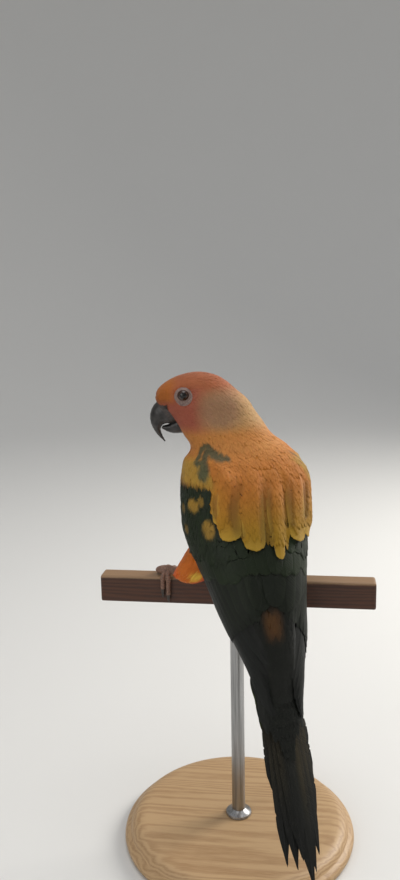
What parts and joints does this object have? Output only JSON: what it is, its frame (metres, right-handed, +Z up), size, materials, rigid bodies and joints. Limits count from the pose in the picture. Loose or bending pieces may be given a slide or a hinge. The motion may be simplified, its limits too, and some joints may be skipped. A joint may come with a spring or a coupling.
{
  "type": "sun conure model on a perch",
  "caption": "Life-size perched sun conure, a long-tailed orange, yellow and green parrot with its head turned in profile, on a short wooden bar held by a rod over a round display base.",
  "frame": {"origin": "centre of the underside of the round stand base", "axes": "+Z up; +X along the perch, to the right of someone who looks at the bird's back; +Y level and away from them, the way the bird's body mostly faces"},
  "size_m": [0.16, 0.1599, 0.283],
  "materials": {
    "head_feathers": "soft, short feathers",
    "body_feathers": "soft feathers",
    "saddle_feathers": "soft feathers with a silky sheen",
    "covert_feathers": "silky feathers",
    "secondary_feathers": "stiff silky feathers",
    "primary_feathers": "stiff silky feathers",
    "tail_feathers": "stiff silky feathers",
    "bill_horn": "satin horn",
    "claw_horn": "satin horn",
    "eye": "glossy",
    "bare_skin": "scaly, matte",
    "perch_wood": "worn satin varnish",
    "stand_wood": "satin",
    "stand_steel": "brushed"
  },
  "bodies": {
    "root": {"bill_lower": "bill_horn", "bill_upper": "bill_horn", "claw_left_1": "claw_horn", "claw_left_2": "claw_horn", "claw_left_3": "claw_horn", "claw_left_4": "claw_horn", "claw_right_1": "claw_horn", "claw_right_2": "claw_horn", "claw_right_3": "claw_horn", "claw_right_4": "claw_horn", "eye_left": "eye", "eye_right": "eye", "foot_left": "bare_skin", "foot_right": "bare_skin", "head": "head_feathers", "leg_left": "body_feathers", "leg_right": "body_feathers", "neck": "body_feathers", "perch": "perch_wood", "scapulars_left": "saddle_feathers", "scapulars_right": "saddle_feathers", "stand_base": "stand_wood", "stand_rod": "stand_steel", "tail_feather_left_1": "tail_feathers", "tail_feather_left_2": "tail_feathers", "tail_feather_left_3": "tail_feathers", "tail_feather_left_4": "tail_feathers", "tail_feather_right_1": "tail_feathers", "tail_feather_right_2": "tail_feathers", "tail_feather_right_3": "tail_feathers", "tail_feather_right_4": "tail_feathers", "toe_left_1": "bare_skin", "toe_left_2": "bare_skin", "toe_left_3": "bare_skin", "toe_left_4": "bare_skin", "toe_right_1": "bare_skin", "toe_right_2": "bare_skin", "toe_right_3": "bare_skin", "toe_right_4": "bare_skin", "trunk": "body_feathers", "wing_coverts_left": "covert_feathers", "wing_coverts_right": "covert_feathers", "wing_primaries_left": "primary_feathers", "wing_primaries_right": "primary_feathers", "wing_secondaries_left": "secondary_feathers", "wing_secondaries_right": "secondary_feathers"}
  },
  "joints": []
}
